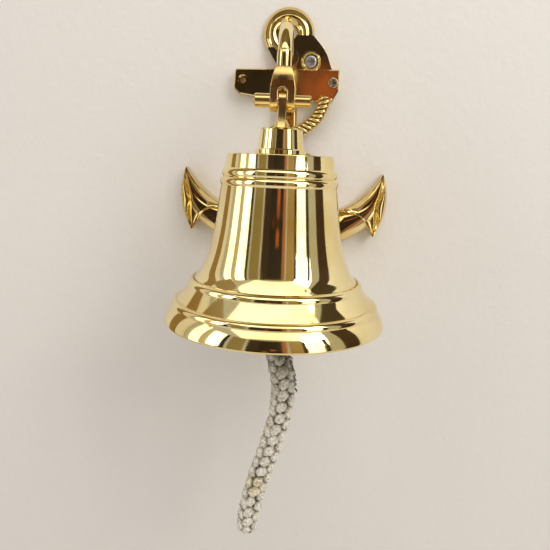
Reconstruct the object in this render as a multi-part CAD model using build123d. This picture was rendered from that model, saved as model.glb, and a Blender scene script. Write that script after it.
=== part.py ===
from build123d import *
import math
import os

# Wall-mounted ship bell: a cast anchor bracket, a swan-neck arm ending in a fork, a 6 inch bell
# hung from a pin in that fork, a clapper and a braided cotton lanyard.
# Millimetres. Origin: on the wall face, midway between the two screw holes of the anchor's stock.
# X points right, Y into the wall, Z up.

# ---- Where the main features are
WALL_GAP = 95.0  # wall face to the bell's axis
PIN_Z = -24.2  # height of the hanger pin's axis
PIN_TO_RIM = 148.2  # pin axis to the bell's rim plane
RIM_Z = PIN_Z - PIN_TO_RIM
BELL_Y = -WALL_GAP

# ---- Bell: (radius, height above the rim)
CROWN_H = 113.5
CROWN_THICKNESS = 6.5
CROWN_R = 35.6
BAND_FOOT = (36.8, 104.9)
SHOULDER_BEADS = (
    ((37.1, 104.3), (38.5, 101.6), (37.7, 98.8)),
    ((37.7, 98.8), (39.6, 96.0), (38.8, 93.2)),
)
WAIST = ((39.0, 91.5), (40.8, 77.5), (42.7, 64.1), (45.7, 50.5), (50.2, 37.9), (55.4, 30.6))
UPPER_BEAD = ((55.4, 30.6), (58.9, 29.3), (59.7, 25.8))
BOW_FLARE = ((59.7, 25.8), (63.1, 21.2), (67.2, 16.4))
LOWER_BEAD = ((67.2, 16.4), (70.3, 15.2), (70.8, 12.0))
LIP = ((70.8, 12.0), (74.3, 6.4), (76.0, 1.6))
RIM_ROUND = ((76.0, 1.6), (75.4, 0.4), (74.2, 0.0))
BELL_INSIDE = (
    (71.6, 0.0), (63.8, 11.5), (54.6, 24.2), (47.2, 37.0), (42.2, 50.0), (39.2, 64.0),
    (36.4, 80.0), (34.0, 99.0),
)
INSIDE_CORNER = ((34.0, 99.0), (31.9, 104.8), (26.0, CROWN_H - CROWN_THICKNESS))
CROWN_EDGE = 0.6  # chamfer round the crown
CROWN_FOOT_H = SHOULDER_BEADS[-1][-1][1]  # where the casting's three nodes meet
SOUND_BOW_TOP_H = 32.0

# ---- Neck and hanger above the crown
COLLAR_FLANGE_R = 16.8
COLLAR_FLANGE_H = 3.8
COLLAR_FOOT_R = 15.3
COLLAR_TOP_R = 14.0
COLLAR_H = 17.2
COLLAR_LIP = (1.6, 1.1)  # how far the rounded top edge runs in and down
FLANGE_EDGE = 0.7
TONGUE_T = 4.7
TONGUE_TOP_R = 6.3  # the rounded top is centred on the pin
TONGUE_WAIST_HALF = 6.9
TONGUE_WAIST_SHARE = 0.6  # how far down the tongue its narrow part is
TONGUE_FOOT_HALF = 9.0
TONGUE_SWELL = ((8.4, 0.0), (5.2, 1.8), (3.2, 5.5), (0.0, 6.5))  # radius, height above the collar
STEM_R = 5.5
STEM_LIFT = 0.4  # the stem stops this far above the crown
TAPPED_TO = 13.2  # the stem's thread reaches this far above the crown
RUNNING = 0.05  # radial clearance of a turning fit
LOOSE = 0.1  # radial clearance of a fixed part in its hole
CLEAR_HOLE = 0.2  # radial clearance of a bolt in its hole
BEYOND = 20.0  # a cutting tool's reach past the part

# ---- Pin
PIN_R = 3.0
PIN_HEAD_R = 4.5
PIN_HEAD_END_X = -18.7
PIN_CAP_R = 3.9
PIN_CAP_END_X = 18.7
PIN_END_X = 16.0
PIN_CHAMFER = 0.8

# ---- Fork (clevis)
FORK_HALF_X = 8.15
FORK_HALF_Y = 7.1
FORK_TOP_Z = -3.0
FORK_SHOULDER = (7.2, -11.5)
FORK_FRONT_BULGE = (6.4, -7.4)
FORK_SIDE_BULGE = (6.4, -7.0)
FORK_SIDE_FOOT_Z = -12.0
SLOT_HALF = 3.0
SLOT_TOP_Z = -16.2

# ---- Swan-neck arm
ARM_R = 4.5
ARM_COLLAR_R = 4.9
ARM_ROOT = (0, -10.0, 18.0)
ARM_KNEE = (0, -28.0, 18.0)
ARM_CORNER = (0, BELL_Y, 30.4)
ARM_KNEE_R = 20.0
ARM_BEND_R = 26.0
ARM_GROOVE_ANGLE = 16.0  # where the arm and its collar meet, up the bend from its lower end
GROOVE = 0.7  # chamfer on each side of that joint

# ---- Anchor bracket
STOCK_T = 8.5
STOCK_OUTLINE = (
    (-42.5, 8.6), (40.6, 10.2), (40.6, -5.5), (35.3, -15.2), (18.0, -14.6), (-24.0, -12.4),
    (-38.5, -10.4), (-43.3, -6.0),
)
STOCK_CORNER_R = 2.2
STOCK_EDGE = 0.8
STOCK_HOLE_X = 36.0
SCREW_HOLE_R = 2.5
CSK_R = 4.2
CSK_DEPTH = 1.7
SHANK_T = 8.0
SHANK_ROUND = 3.0
SHANK_OUTLINE = ((-8.0, -14.0), (8.0, -14.0), (10.5, -124.0), (-10.5, -124.0))
RING_CENTRE = (-0.9, 36.7)
RING_HOLE_R = 6.2
RING_OUTER_R = 20.2
RING_CREST = (12.8, 7.0)  # radius and thickness at the ring's crest
RING_INNER_EDGE = 2.2  # thickness at the hole and at the rim
RING_OUTER_EDGE = 2.0
RING_INNER_BULGE = (8.9, 5.1)
RING_OUTER_BULGE = (17.2, 5.1)
THROAT_OUTLINE = ((-8.6, 6.0), (-9.4, 12.6), (-17.4, 25.4), (8.6, 30.0), (8.6, 6.0))
THROAT_T = 6.0
LUG_EDGE = (
    (18.6, 35.2), (22.3, 31.2), (26.6, 26.4), (30.0, 21.3), (32.0, 16.3), (33.7, 12.0), (36.0, 7.0),
)
LUG_T = 7.4
BOSS_CENTRE = (17.6, 15.6)
BOSS_R = 7.4
BOSS_T = 8.8
BOSS_RECESS_R = 5.3
BOSS_RECESS_T = 6.4  # thickness of metal left under the screw's head
SEAT_R = 7.6
CROWN_ARC = ((-71.0, -111.0), (0.0, -147.0), (71.0, -111.0))
ARMPIT_ARC = ((-62.0, -100.0), (0.0, -122.0), (62.0, -100.0))
ARMS_T = 11.0
ARMS_ROUND = 4.5
FLUKE_TIP = (80.7, -69.5)
FLUKE_BACK = (85.6, -96.0)
FLUKE_BARB = (76.0, -121.6)
FLUKE_PALM = (66.0, -103.6)
FLUKE_ROOT = (49.0, -99.8)
FLUKE_THROAT = ((60.0, -91.6), (70.6, -81.4))
FLUKE_T = 12.0
FLUKE_RIDGE_X = 70.0  # the palm's face is part of a cylinder whose axis is upright
FLUKE_FACE_R = 24.0

# ---- Cast rope wound round the anchor's shank: (x, z) of its centre line
ROPE_R = 5.4
ROPE_Y = -7.2
ROPE_ROUTE = (
    (31.0, -13.0), (28.0, -24.0), (17.0, -35.5), (-2.0, -44.0), (-13.0, -54.0), (2.0, -61.0),
    (22.0, -60.0), (31.5, -70.0), (22.0, -85.0), (0.0, -93.0), (-18.0, -99.0), (-23.0, -112.0),
)
ROPE_BENDS = (14.0, 16.0, 16.0, 7.5, 9.0, 8.5, 9.5, 13.0, 16.0, 9.0)

# ---- Wall screws and the screw that holds the arm
SCREW_SHANK_R = 2.2
BOSS_SCREW_HEAD = (4.9, 2.8)  # radius and height of the pan head
STOCK_SCREW_HEAD = (3.9, 1.2)  # countersunk, with a raised top
HEAD_ROUND = 0.6  # a head's edge rounding as a share of its height
CROSS_SLOT = (1.4, 1.6)  # width and depth of the cross recess
CROSS_REACH = 1.1  # its length as a share of the head's radius
FIXING_SCREW_R = 2.5
FIXING_HEAD_R = 4.8
FIXING_HEAD_H = 2.4
FIXING_REACH = 16.0  # how far the fixing screw goes into the arm
FIXING_SLOT = (7.0, 1.0, 1.2)  # length, depth and width of its driver slot

# ---- Inside the bell: heights above the rim
BOLT_R = 4.0
EYE_MAJOR = 5.0
EYE_MINOR = 1.8
BOLT_EYE_H = 90.7
BOLT_TOP = 13.0  # how far the eyebolt reaches above the crown
EYE_SINK = 0.6  # how far a shank runs into its eye
WASHER = (11.0, 2.0)
NUT_ACROSS_FLATS = 13.0
NUT_H = 5.5
LINK_WIRE_R = 1.5
LINK_WIDTH = 9.0
LINK_LENGTH = 15.0
LINK_CORNER_R = 3.0
LINK_TOP_H = 89.4
CLAPPER_EYE_H = 73.0
ROD_R = 3.0
BALL_R = 12.5
BALL_H = 9.0
ROD_END_H = 3.0
TAIL_TOP_H = 1.0
TAIL_EYE_H = -12.0
TAIL_MAJOR = 4.2
TAIL_MINOR = 1.6
LOOP_WIRE_R = 1.6
LOOP_TOP_H = -12.7
LOOP_LENGTH = 11.0

# ---- Lanyard: its diameter and the centre line of the braid
LANYARD_D = 17.0
LANYARD_ROUTE = (
    (2.6, -95.0, -193.6), (7.3, -95.3, -208.5), (9.3, -95.8, -226.0), (6.8, -96.0, -250.0),
    (-0.5, -95.6, -275.0), (-8.3, -95.0, -300.0), (-12.6, -94.6, -320.0), (-14.4, -94.4, -337.0),
)
KNOT_H = 4.0
KNOT_ROUND = 2.8
BEND_SHARE = 0.45  # how much of the shorter run a bend takes up


def at_bell(solid):
    """Moves a shape made round the Z axis, with the rim plane at zero, to the bell's place."""
    return Pos(0, BELL_Y, RIM_Z) * solid


def front_face(*edges):
    """A face in the wall's plane from edges given as (x, z)."""
    return make_face(Plane.XZ * Curve(edges))


def plate(edges, thickness):
    """A flat plate standing out from the wall, its outline given as (x, z) edges."""
    return extrude(front_face(*edges), thickness, dir=(0, -1, 0))


def closed(points):
    """The straight edges round a closed outline."""
    return Polyline(*points, points[0]).edges()


def arc(points):
    return ThreePointArc(*points)


def disc_through(radius, centre, depth_from, depth_to):
    """A round bar along Y, at (x, z), between two distances out from the wall."""
    length = depth_to - depth_from
    place = Plane((centre[0], -depth_from, centre[1]), x_dir=(1, 0, 0), z_dir=(0, -1, 0))
    return place * Cylinder(radius, length, align=(Align.CENTER, Align.CENTER, Align.MIN))


def turned(points):
    """A turned piece: the closed outline of (radius, height) points, revolved round Z."""
    outline = Plane.XZ * Polyline(*points, points[0])
    return revolve(make_face(outline), Axis.Z)


def wire_link(wire_r, width, length, corner_r):
    """A closed link of round wire in the YZ plane; the centre of its top wire is at the origin."""
    outline = Plane.YZ * Pos(0, -length / 2) * RectangleRounded(width, length, corner_r)
    path = outline.face().outer_wire()
    start = Plane(origin=path @ 0, z_dir=path % 0)
    return sweep(start * Circle(wire_r), path=path)


def ring_eye(major, minor):
    """A round eye whose hole runs along Y."""
    return Rot(90, 0, 0) * Torus(major, minor)


# ---- The anchor bracket

def anchor_head():
    """Ring, throat, screw lug with its raised boss, and the round seat that the arm stands on."""
    inner_edge = (RING_HOLE_R, RING_INNER_EDGE)
    outer_edge = (RING_OUTER_R, RING_OUTER_EDGE)
    band = make_face(
        Plane.XZ * Curve([
            Line((RING_HOLE_R, 0), inner_edge),
            ThreePointArc(inner_edge, RING_INNER_BULGE, RING_CREST),
            ThreePointArc(RING_CREST, RING_OUTER_BULGE, outer_edge),
            Line(outer_edge, (RING_OUTER_R, 0)),
            Line((RING_OUTER_R, 0), (RING_HOLE_R, 0)),
        ])
    )
    ring = revolve(band, Axis.Z)
    ring = Pos(RING_CENTRE[0], 0, RING_CENTRE[1]) * Rot(90, 0, 0) * ring
    throat = plate(closed(THROAT_OUTLINE), THROAT_T)
    lug_foot, lug_top = LUG_EDGE[-1], LUG_EDGE[0]
    lug = plate(
        (
            Spline(*LUG_EDGE),
            Line(lug_foot, (0, lug_foot[1])),
            Line((0, lug_foot[1]), (0, lug_top[1])),
            Line((0, lug_top[1]), lug_top),
        ),
        LUG_T,
    )
    boss = disc_through(BOSS_R, BOSS_CENTRE, 0, BOSS_T)
    seat = disc_through(SEAT_R, (ARM_ROOT[0], ARM_ROOT[2]), 0, -ARM_ROOT[1])
    hole = disc_through(RING_HOLE_R, RING_CENTRE, -1, BEYOND)
    head = (throat + lug + boss + seat + ring) - hole
    head -= disc_through(BOSS_RECESS_R, BOSS_CENTRE, BOSS_RECESS_T, BEYOND)
    head -= disc_through(SCREW_HOLE_R, BOSS_CENTRE, -1, BEYOND)
    head -= fixing_screw_space()
    return head - anchor_stock_blank()


def fixing_screw_space():
    """The countersunk hole behind the seat."""
    x, _, z = ARM_ROOT
    head = Plane((x, 0, z), x_dir=(1, 0, 0), z_dir=(0, -1, 0)) * Cone(
        FIXING_HEAD_R + LOOSE, FIXING_SCREW_R + LOOSE, FIXING_HEAD_H + LOOSE,
        align=(Align.CENTER, Align.CENTER, Align.MIN),
    )
    return head + disc_through(FIXING_SCREW_R + LOOSE, (x, z), -1, BEYOND)


def anchor_stock_blank():
    return plate(closed(STOCK_OUTLINE), STOCK_T)


def anchor_stock():
    """The flat cross bar with its two countersunk screw holes."""
    stock = anchor_stock_blank()
    stock = fillet(stock.edges().filter_by(Axis.Y).sort_by(Axis.X)[:3], STOCK_CORNER_R)
    front = stock.faces().sort_by(Axis.Y)[0]
    stock = chamfer(front.edges(), STOCK_EDGE)
    for side in (-1, 1):
        centre = (side * STOCK_HOLE_X, 0)
        sink = Plane((centre[0], -STOCK_T, 0), x_dir=(1, 0, 0), z_dir=(0, 1, 0)) * Cone(
            CSK_R, SCREW_HOLE_R, CSK_DEPTH, align=(Align.CENTER, Align.CENTER, Align.MIN)
        )
        stock -= disc_through(SCREW_HOLE_R, centre, -1, STOCK_T + 1) + sink
    return stock


def anchor_shank():
    """The bar from the stock down to the crown, rounded at its front corners."""
    shank = plate(closed(SHANK_OUTLINE), SHANK_T)
    long_edges = shank.faces().sort_by(Axis.Y)[0].edges().sort_by(SortBy.LENGTH)[-2:]
    shank = fillet(long_edges, SHANK_ROUND)
    return shank - anchor_stock_blank()


def anchor_arms():
    """The curved pair of arms with the crown between them."""
    left, right = CROWN_ARC[0], CROWN_ARC[2]
    arms = plate(
        (arc(CROWN_ARC), Line(right, ARMPIT_ARC[2]), arc(ARMPIT_ARC), Line(ARMPIT_ARC[0], left)),
        ARMS_T,
    )
    long_edges = arms.faces().sort_by(Axis.Y)[0].edges().sort_by(SortBy.LENGTH)[-2:]
    arms = fillet(long_edges, ARMS_ROUND)
    return arms - anchor_shank() - fluke(1) - fluke(-1)


def fluke(side):
    """One pointed palm with a rounded face; side is 1 on the right and -1 on the left."""
    def p(point):
        return (side * point[0], point[1])

    outline = front_face(
        arc((p(FLUKE_TIP), p(FLUKE_BACK), p(FLUKE_BARB))),
        arc((p(FLUKE_BARB), p(FLUKE_PALM), p(FLUKE_ROOT))),
        Spline(p(FLUKE_ROOT), p(FLUKE_THROAT[0]), p(FLUKE_THROAT[1]), p(FLUKE_TIP)),
    )
    blank = extrude(outline, FLUKE_T, dir=(0, -1, 0))
    ridge = (side * FLUKE_RIDGE_X, FLUKE_FACE_R - FLUKE_T, (FLUKE_TIP[1] + FLUKE_BARB[1]) / 2)
    return blank & Pos(*ridge) * Cylinder(FLUKE_FACE_R, 100)


def cast_rope():
    """The rope cast round the shank, from under the stock to the left arm."""
    points = [(x, ROPE_Y, z) for x, z in ROPE_ROUTE]
    path = FilletPolyline(*points, radius=list(ROPE_BENDS))
    start = Plane(origin=path @ 0, z_dir=path % 0)
    rope = sweep(start * Circle(ROPE_R), path=path)
    return rope - anchor_stock_blank() - anchor_shank() - anchor_arms()


# ---- The arm, its collar and the fork

def arm_path():
    end = (0, BELL_Y, FORK_TOP_Z)
    return FilletPolyline(ARM_ROOT, ARM_KNEE, ARM_CORNER, end, radius=[ARM_KNEE_R, ARM_BEND_R])


def groove_plane():
    """The plane across the bend where the arm meets its collar."""
    slope = math.atan2(ARM_CORNER[2] - ARM_KNEE[2], ARM_KNEE[1] - ARM_CORNER[1])
    drop = ARM_BEND_R * math.tan((math.pi / 2 + slope) / 2)
    centre = (0, BELL_Y + ARM_BEND_R, ARM_CORNER[2] - drop)
    angle = math.radians(ARM_GROOVE_ANGLE)
    return Plane(origin=centre, x_dir=(1, 0, 0), z_dir=(0, math.sin(angle), math.cos(angle)))


def arm_half(radius, keep):
    """The bent bar on one side of the joint, with its edge there chamfered."""
    path = arm_path()
    start = Plane(origin=path @ 0, z_dir=path % 0)
    bar = sweep(start * Circle(radius), path=path)
    half = bar.split(groove_plane(), keep=keep)
    cut = groove_plane()
    ends = [face for face in half.faces().filter_by(GeomType.PLANE)
            if abs(cut.to_local_coords(face.center()).Z) < 0.01]
    return chamfer(ends[0].edges(), GROOVE)


def bracket_arm():
    """The bent bar from the anchor to the collar, bored at its root for the fixing screw."""
    bar = arm_half(ARM_R, Keep.TOP)
    bore = disc_through(
        FIXING_SCREW_R + RUNNING, (ARM_ROOT[0], ARM_ROOT[2]), -ARM_ROOT[1] - 1,
        -ARM_ROOT[1] + FIXING_REACH + 1,
    )
    return bar - bore


def arm_collar():
    """The short collar between the bent bar and the fork."""
    return arm_half(ARM_COLLAR_R, Keep.BOTTOM)


def clevis():
    """The fork: a pointed block with two ears, rounded about the pin."""
    sx, sz = FORK_SHOULDER
    bulge_x, bulge_z = FORK_FRONT_BULGE
    side_y, side_z = FORK_SIDE_BULGE
    foot = PIN_Z - FORK_HALF_Y
    front = front_face(
        Line((-ARM_COLLAR_R, FORK_TOP_Z), (ARM_COLLAR_R, FORK_TOP_Z)),
        ThreePointArc((ARM_COLLAR_R, FORK_TOP_Z), FORK_FRONT_BULGE, (sx, sz)),
        Line((sx, sz), (FORK_HALF_X, SLOT_TOP_Z)),
        Line((FORK_HALF_X, SLOT_TOP_Z), (FORK_HALF_X, foot)),
        Line((FORK_HALF_X, foot), (-FORK_HALF_X, foot)),
        Line((-FORK_HALF_X, foot), (-FORK_HALF_X, SLOT_TOP_Z)),
        Line((-FORK_HALF_X, SLOT_TOP_Z), (-sx, sz)),
        ThreePointArc((-sx, sz), (-bulge_x, bulge_z), (-ARM_COLLAR_R, FORK_TOP_Z)),
    )
    block = Pos(0, BELL_Y, 0) * extrude(front, FORK_HALF_Y, both=True)
    side = make_face(
        Plane.YZ * Curve([
            Line((-FORK_HALF_Y, PIN_Z), (-FORK_HALF_Y, FORK_SIDE_FOOT_Z)),
            ThreePointArc(
                (-FORK_HALF_Y, FORK_SIDE_FOOT_Z), (-side_y, side_z), (-ARM_COLLAR_R, FORK_TOP_Z)
            ),
            Line((-ARM_COLLAR_R, FORK_TOP_Z), (ARM_COLLAR_R, FORK_TOP_Z)),
            ThreePointArc(
                (ARM_COLLAR_R, FORK_TOP_Z), (side_y, side_z), (FORK_HALF_Y, FORK_SIDE_FOOT_Z)
            ),
            Line((FORK_HALF_Y, FORK_SIDE_FOOT_Z), (FORK_HALF_Y, PIN_Z)),
            ThreePointArc((FORK_HALF_Y, PIN_Z), (0, foot), (-FORK_HALF_Y, PIN_Z)),
        ])
    )
    block &= Pos(0, BELL_Y, 0) * extrude(side, BEYOND, both=True)
    slot_centre = Pos(0, BELL_Y, SLOT_TOP_Z - SLOT_HALF)
    slot = slot_centre * Rot(90, 0, 0) * Cylinder(SLOT_HALF, 2 * BEYOND)
    slot += slot_centre * Box(
        2 * SLOT_HALF, 2 * BEYOND, 2 * BEYOND, align=(Align.CENTER, Align.CENTER, Align.MAX)
    )
    return block - slot - across_pin(PIN_R + RUNNING, -BEYOND, BEYOND)


def across_pin(radius, x_from, x_to):
    """A round bar on the pin's axis between two X positions."""
    place = Plane((x_from, BELL_Y, PIN_Z), x_dir=(0, 1, 0), z_dir=(1, 0, 0))
    return place * Cylinder(radius, x_to - x_from, align=(Align.CENTER, Align.CENTER, Align.MIN))


def hanger_pin():
    """The pin that the bell swings on, its head on the left."""
    head = across_pin(PIN_HEAD_R, PIN_HEAD_END_X, -FORK_HALF_X)
    head = chamfer(head.faces().sort_by(Axis.X)[0].edges(), PIN_CHAMFER)
    return head + across_pin(PIN_R, -FORK_HALF_X, PIN_END_X)


def pin_cap_nut():
    """The closed nut on the pin's right-hand end."""
    cap = across_pin(PIN_CAP_R, FORK_HALF_X, PIN_CAP_END_X)
    cap = chamfer(cap.faces().sort_by(Axis.X)[-1].edges(), PIN_CHAMFER)
    return cap - across_pin(PIN_R + RUNNING, FORK_HALF_X - 1, PIN_END_X + CLEAR_HOLE)


# ---- Screws

def cross_recess(head_r, centre, top):
    """The tool for a cross recess in a screw head whose top is that far out from the wall."""
    width, depth = CROSS_SLOT
    bar = Box(CROSS_REACH * head_r, 2 * depth, width) + Box(width, 2 * depth, CROSS_REACH * head_r)
    return Pos(centre[0], -top, centre[1]) * bar


def domed_head(head, centre, seat):
    """A low round screw head that stands on a seat that far out from the wall."""
    head_r, head_h = head
    dome = disc_through(head_r, centre, seat, seat + head_h)
    return fillet(dome.faces().sort_by(Axis.Y)[0].edges(), HEAD_ROUND * head_h)


def upper_wall_screw():
    """The pan-head screw in the lug's boss; it is modelled as far as the wall face."""
    head_r, head_h = BOSS_SCREW_HEAD
    head = domed_head(BOSS_SCREW_HEAD, BOSS_CENTRE, BOSS_RECESS_T)
    head -= cross_recess(head_r, BOSS_CENTRE, BOSS_RECESS_T + head_h)
    return head + disc_through(SCREW_SHANK_R, BOSS_CENTRE, 0, BOSS_RECESS_T)


def right_wall_screw():
    """The countersunk screw in the stock's right-hand hole."""
    head_r, raised = STOCK_SCREW_HEAD
    centre = (STOCK_HOLE_X, 0)
    cone = Plane((STOCK_HOLE_X, -STOCK_T, 0), x_dir=(1, 0, 0), z_dir=(0, 1, 0)) * Cone(
        head_r, SCREW_SHANK_R, CSK_DEPTH, align=(Align.CENTER, Align.CENTER, Align.MIN)
    )
    head = domed_head(STOCK_SCREW_HEAD, centre, STOCK_T) + cone
    head -= cross_recess(head_r, centre, STOCK_T + raised)
    return head + disc_through(SCREW_SHANK_R, centre, 0, STOCK_T - CSK_DEPTH)


def arm_fixing_screw():
    """The countersunk screw that holds the arm from behind."""
    x, root_y, z = ARM_ROOT
    head = Plane((x, 0, z), x_dir=(1, 0, 0), z_dir=(0, -1, 0)) * Cone(
        FIXING_HEAD_R, FIXING_SCREW_R, FIXING_HEAD_H, align=(Align.CENTER, Align.CENTER, Align.MIN)
    )
    screw = head + disc_through(FIXING_SCREW_R, (x, z), 0, -root_y + FIXING_REACH)
    length, depth, width = FIXING_SLOT
    return screw - Pos(x, 0, z) * Box(length, 2 * depth, width)


# ---- The bell and its hanger

def bell_casting():
    """Crown, shoulder beads, waist, two sound-bow beads and lip, hollow inside."""
    hole_r = BOLT_R + CLEAR_HOLE
    inside_h = CROWN_H - CROWN_THICKNESS
    outline = [
        Line((hole_r, CROWN_H), (CROWN_R - CROWN_EDGE, CROWN_H)),
        Line((CROWN_R - CROWN_EDGE, CROWN_H), (CROWN_R, CROWN_H - CROWN_EDGE)),
        Line((CROWN_R, CROWN_H - CROWN_EDGE), BAND_FOOT),
        Line(BAND_FOOT, SHOULDER_BEADS[0][0]),
        *[arc(bead) for bead in SHOULDER_BEADS],
        Line(SHOULDER_BEADS[-1][-1], WAIST[0]),
        Spline(*WAIST),
        *[arc(part) for part in (UPPER_BEAD, BOW_FLARE, LOWER_BEAD, LIP, RIM_ROUND)],
        Line(RIM_ROUND[-1], BELL_INSIDE[0]),
        Spline(*BELL_INSIDE),
        arc(INSIDE_CORNER),
        Line(INSIDE_CORNER[-1], (hole_r, inside_h)),
        Line((hole_r, inside_h), (hole_r, CROWN_H)),
    ]
    return revolve(make_face(Plane.XZ * Curve(outline)), Axis.Z)


def bell_part(from_h, to_h):
    """The casting between two heights above the rim. It is one casting, kept as three nodes so
    that the collision pieces follow its hollow."""
    slab = Pos(0, 0, from_h) * Cylinder(
        2 * CROWN_H, to_h - from_h, align=(Align.CENTER, Align.CENTER, Align.MIN)
    )
    return at_bell(bell_casting() & slab)


def bell_crown():
    return bell_part(CROWN_FOOT_H, CROWN_H)


def bell_waist():
    return bell_part(SOUND_BOW_TOP_H, CROWN_FOOT_H)


def bell_sound_bow():
    return bell_part(0, SOUND_BOW_TOP_H)


def neck_collar():
    """The round collar on the crown, with a flange at its foot."""
    hole_r = STEM_R + LOOSE
    lip_in, lip_down = COLLAR_LIP
    flange_top = CROWN_H + COLLAR_FLANGE_H
    top = CROWN_H + COLLAR_H
    return at_bell(turned([
        (hole_r, CROWN_H), (COLLAR_FLANGE_R - FLANGE_EDGE, CROWN_H),
        (COLLAR_FLANGE_R, CROWN_H + FLANGE_EDGE), (COLLAR_FLANGE_R, flange_top - FLANGE_EDGE),
        (COLLAR_FLANGE_R - FLANGE_EDGE, flange_top), (COLLAR_FOOT_R, flange_top),
        (COLLAR_TOP_R, top - lip_down), (COLLAR_TOP_R - lip_in, top), (hole_r, top),
    ]))


def hanger_tongue():
    """The flat tongue on the pin, with a tapped stem that passes through the collar."""
    collar_top = CROWN_H + COLLAR_H
    foot = RIM_Z + collar_top - PIN_Z
    waist = TONGUE_WAIST_SHARE * foot
    half = TONGUE_FOOT_HALF
    side = make_face(
        Plane.YZ * Curve([
            ThreePointArc((TONGUE_TOP_R, 0), (0, TONGUE_TOP_R), (-TONGUE_TOP_R, 0)),
            ThreePointArc((-TONGUE_TOP_R, 0), (-TONGUE_WAIST_HALF, waist), (-half, foot)),
            Line((-half, foot), (half, foot)),
            ThreePointArc((half, foot), (TONGUE_WAIST_HALF, waist), (TONGUE_TOP_R, 0)),
        ])
    )
    blade = Pos(0, BELL_Y, PIN_Z) * extrude(side, TONGUE_T / 2, both=True)
    swell = at_bell(turned([
        (0, collar_top), *[(radius, collar_top + height) for radius, height in TONGUE_SWELL],
    ]))
    thread_r, stem_foot, thread_top = BOLT_R + RUNNING, CROWN_H + STEM_LIFT, CROWN_H + TAPPED_TO
    stem = at_bell(turned([
        (thread_r, stem_foot), (STEM_R, stem_foot), (STEM_R, collar_top), (0, collar_top),
        (0, thread_top), (thread_r, thread_top),
    ]))
    return blade + swell + stem - across_pin(PIN_R + RUNNING, -BEYOND, BEYOND)


def crown_washer():
    """The washer under the crown, inside the bell."""
    outer_r, thickness = WASHER
    top = CROWN_H - CROWN_THICKNESS
    hole_r = BOLT_R + CLEAR_HOLE
    return at_bell(turned([
        (hole_r, top - thickness), (outer_r, top - thickness), (outer_r, top), (hole_r, top),
    ]))


def crown_nut():
    """The hexagon nut that clamps the crown."""
    base = CROWN_H - CROWN_THICKNESS - WASHER[1] - NUT_H
    hexagon = RegularPolygon(NUT_ACROSS_FLATS / 2, 6, major_radius=False)
    nut = Pos(0, 0, base) * extrude(hexagon - Circle(BOLT_R + RUNNING), NUT_H)
    return at_bell(nut)


def clapper_eyebolt():
    """The bolt up through the crown into the tongue's stem, with the eye the clapper hangs from."""
    eye = Pos(0, 0, BOLT_EYE_H) * ring_eye(EYE_MAJOR, EYE_MINOR)
    foot = BOLT_EYE_H + EYE_MAJOR + EYE_SINK
    shank = Pos(0, 0, foot) * Cylinder(
        BOLT_R, CROWN_H + BOLT_TOP - foot, align=(Align.CENTER, Align.CENTER, Align.MIN)
    )
    return at_bell(eye + shank)


# ---- Link, clapper and lanyard

def clapper_link():
    """The closed link between the eyebolt and the clapper's eye."""
    return at_bell(Pos(0, 0, LINK_TOP_H) * wire_link(
        LINK_WIRE_R, LINK_WIDTH, LINK_LENGTH, LINK_CORNER_R
    ))


def clapper_rod():
    """The clapper's rod with the eye at its top."""
    eye = Pos(0, 0, CLAPPER_EYE_H) * ring_eye(EYE_MAJOR, EYE_MINOR)
    top = CLAPPER_EYE_H - EYE_MAJOR
    rod = Pos(0, 0, ROD_END_H) * Cylinder(
        ROD_R, top - ROD_END_H, align=(Align.CENTER, Align.CENTER, Align.MIN)
    )
    return at_bell(eye + rod)


def clapper_ball():
    """The ball on the rod, level with the sound bow."""
    bore = Cylinder(ROD_R + RUNNING, 4 * BALL_R)
    return at_bell(Pos(0, 0, BALL_H) * (Sphere(BALL_R) - bore))


def clapper_tail_eye():
    """The eye screwed into the ball from below, for the lanyard."""
    eye = Pos(0, 0, TAIL_EYE_H) * ring_eye(TAIL_MAJOR, TAIL_MINOR)
    foot = TAIL_EYE_H + TAIL_MAJOR + EYE_SINK
    stem = Pos(0, 0, foot) * Cylinder(
        ROD_R, TAIL_TOP_H - foot, align=(Align.CENTER, Align.CENTER, Align.MIN)
    )
    return at_bell(eye + stem)


def lanyard_loop():
    """The cord loop that hangs the braid from the clapper's tail eye."""
    return at_bell(Pos(0, 0, LOOP_TOP_H) * wire_link(
        LOOP_WIRE_R, LINK_WIDTH, LOOP_LENGTH, LINK_CORNER_R
    ))


def bend_radii(points):
    """The radius at each corner whose bend takes up the stated share of the shorter run."""
    radii = []
    for before, corner, after in zip(points, points[1:], points[2:]):
        first = Vector(*corner) - Vector(*before)
        second = Vector(*after) - Vector(*corner)
        half_turn = math.radians(first.get_angle(second)) / 2
        radii.append(BEND_SHARE * min(first.length, second.length) / math.tan(half_turn))
    return radii


def lanyard_path():
    return FilletPolyline(*LANYARD_ROUTE, radius=bend_radii(LANYARD_ROUTE))


def lanyard_braid():
    """The braid, a plain round bar along its route."""
    path = lanyard_path()
    start = Plane(origin=path @ 0, z_dir=path % 0)
    return sweep(start * Circle(LANYARD_D / 2), path=path)


def lanyard_knot():
    """The tucked end of the braid, a low dome on its last face."""
    path = lanyard_path()
    end = Plane(origin=path @ 1, z_dir=path % 1)
    knot = Cylinder(LANYARD_D / 2, KNOT_H, align=(Align.CENTER, Align.CENTER, Align.MIN))
    knot = fillet(knot.faces().sort_by(Axis.Z)[-1].edges(), KNOT_ROUND)
    return end * knot


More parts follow.
